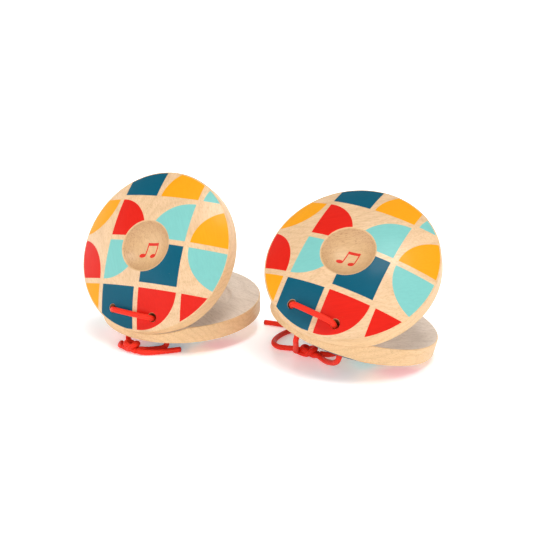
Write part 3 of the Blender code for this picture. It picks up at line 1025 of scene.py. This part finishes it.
def knot_points(castanet, along, aside):
    """Points of one cord's way through the knot, from its standing leg to its free leg."""
    turn = Matrix.Rotation(castanet.knot_turn + (0.0 if along < 0 else math.pi), 4, "Z")
    place = Matrix.Translation(castanet.knot)
    points = [tuple((place @ turn) @ (Vector(p) * KNOT_SCALE)) for p in KNOT_HALF]
    return points if aside * along < 0 else points[::-1]


def string_castanet(castanet):
    """All the cord of one castanet. Returns its two free ends with their middle lines."""
    name = castanet.name
    base, top = name + "_base", name + "_top"
    bridge, _ = make_cord(name + "_bridge_cord", castanet.in_upper(bridge_points()), top)
    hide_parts(name + "_cord_bridge")
    mouth = outer_plain(math.hypot(HOLE_SPACING / 2, HOLE_OFFSET))
    line = RIDGE_OFFSET - HOLE_OFFSET
    free = []
    for label, side, end in zip(("a", "b"), (-1, 1), castanet.ends):
        x = side * HOLE_SPACING / 2
        down = castanet.in_hinge([(x, line, -depth) for depth in (STRAND_START, mouth / 2, mouth - 1.0)])
        knot = knot_points(castanet, side, castanet.legs[label])
        run = down + castanet.below(castanet.strands[label] + knot)
        strand, _ = make_cord(f"{name}_strand_{label}", run, base)
        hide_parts(f"{name}_cord_strand_{label}")
        if label == "a":
            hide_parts(f"{name}_cord_knot")
        rest = castanet.below([knot[-1]] + castanet.ends[end])
        obj, middle = make_cord(f"{name}_{end}_cord", rest, base, start_cap=0.2, melted=True)
        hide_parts(f"{name}_cord_{end}")
        free.append((obj, middle))
        link_low = castanet.in_hinge([(x, line, -STRAND_START - 0.4), (x, line, -0.5)])
        link_high = castanet.in_upper([(x, line, 0.5), (x, line, STRAND_START + 0.4)])
        link, _ = make_cord(f"{name}_link_{label}", link_low + link_high, None, radius=0.97)
        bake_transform(link)
    return free


RIGHT_CORDS = string_castanet(RIGHT)
string_castanet(LEFT)

for castanet, turns, places, depths in (
    (LEFT, (0.55, 1.9), (9.0, -14.0), (16.0, 24.0)),
    (RIGHT, (-0.95, 0.35), (-12.0, 11.0), (13.0, 20.0)),
):
    name = castanet.name
    upper = make_shell(f"{name}_upper_wood", castanet.upper, f"{name}_top", turns[0], places[0], depths[0])
    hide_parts(castanet.name + "_upper_shell")
    lower = make_shell(f"{name}_lower_wood", castanet.lower, f"{name}_base", turns[1], places[1], depths[1])
    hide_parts(castanet.name + "_lower_shell")


# ---------------------------------------------------------------- floor and light
FLOOR_GLOW = 0.75
WORLD_LIGHT = 0.28


def make_floor():
    """A round white sweep: a floor that curves up to a low wall well away from the set."""
    profile = [(0.0, 0.0), (0.3, 0.0), (0.7, 0.0), (1.1, 0.0), (1.4, 0.0)]
    for step in range(1, 9):
        angle = math.pi / 2 * step / 8
        profile.append((1.4 + 0.3 * math.sin(angle), 0.3 * (1 - math.cos(angle))))
    profile.append((1.7, 0.7))
    count = 96
    vertices, faces = [(0.0, 0.0, 0.0)], []
    for radius, height in profile[1:]:
        for i in range(count):
            angle = 2 * math.pi * i / count
            vertices.append((radius * math.cos(angle), radius * math.sin(angle), height))
    for i in range(count):
        faces.append((0, 1 + i, 1 + (i + 1) % count))
    for row in range(len(profile) - 2):
        for i in range(count):
            j = (i + 1) % count
            first, second = 1 + row * count, 1 + (row + 1) * count
            faces.append((first + i, second + i, second + j, first + j))
    mesh = bpy.data.meshes.new("floor")
    mesh.from_pydata(vertices, [], faces)
    mesh.polygons.foreach_set("use_smooth", [True] * len(faces))
    shader = Shader("white_acrylic")
    place = shader.node("ShaderNodeTexCoord").outputs["Object"]
    soft = shader.noise(shader.scaled(place, (9.0, 9.0, 9.0)), detail=2.0)
    shader.set(Base_Color=shader.mix(soft, srgb(246, 246, 248), srgb(249, 249, 250)))
    shader.set(Roughness=shader.math("MULTIPLY_ADD", soft, 0.06, 0.34))
    shader.principled.inputs["Specular IOR Level"].default_value = 0.18
    distance = shader.node("ShaderNodeVectorMath", operation="LENGTH")
    shader.feed(distance.inputs[0], place)
    glow = shader.ramp(distance.outputs["Value"], [(0.055, 0.28), (0.4, FLOOR_GLOW)], "EASE")
    shader.principled.inputs["Emission Color"].default_value = (1.0, 1.0, 1.0, 1.0)
    shader.set(Emission_Strength=glow)
    mesh.materials.append(shader.material)
    floor = bpy.data.objects.new("floor", mesh)
    bpy.context.scene.collection.objects.link(floor)


def add_light(name, place, target, size, power):
    data = bpy.data.lights.new(name, "AREA")
    data.shape = "RECTANGLE"
    data.size, data.size_y = size
    data.energy = power
    light = bpy.data.objects.new(name, data)
    light.location = place
    aim = Vector(target) - Vector(place)
    light.rotation_euler = aim.to_track_quat("-Z", "Y").to_euler()
    bpy.context.scene.collection.objects.link(light)


make_floor()
add_light("top_softbox", (0.10, -0.26, 0.95), (0.0, 0.0, 0.02), (0.42, 0.34), 5.4)
add_light("left_softbox", (-0.95, -0.55, 0.55), (0.0, 0.0, 0.03), (0.7, 0.7), 2.2)
add_light("right_softbox", (0.95, -0.35, 0.5), (0.0, 0.0, 0.03), (0.5, 0.7), 1.4)

world = bpy.data.worlds.new("studio")
world.use_nodes = True
world.node_tree.nodes["Background"].inputs[0].default_value = (1.0, 1.0, 1.0, 1.0)
world.node_tree.nodes["Background"].inputs[1].default_value = WORLD_LIGHT
bpy.context.scene.world = world
bpy.context.scene.view_settings.view_transform = "Standard"
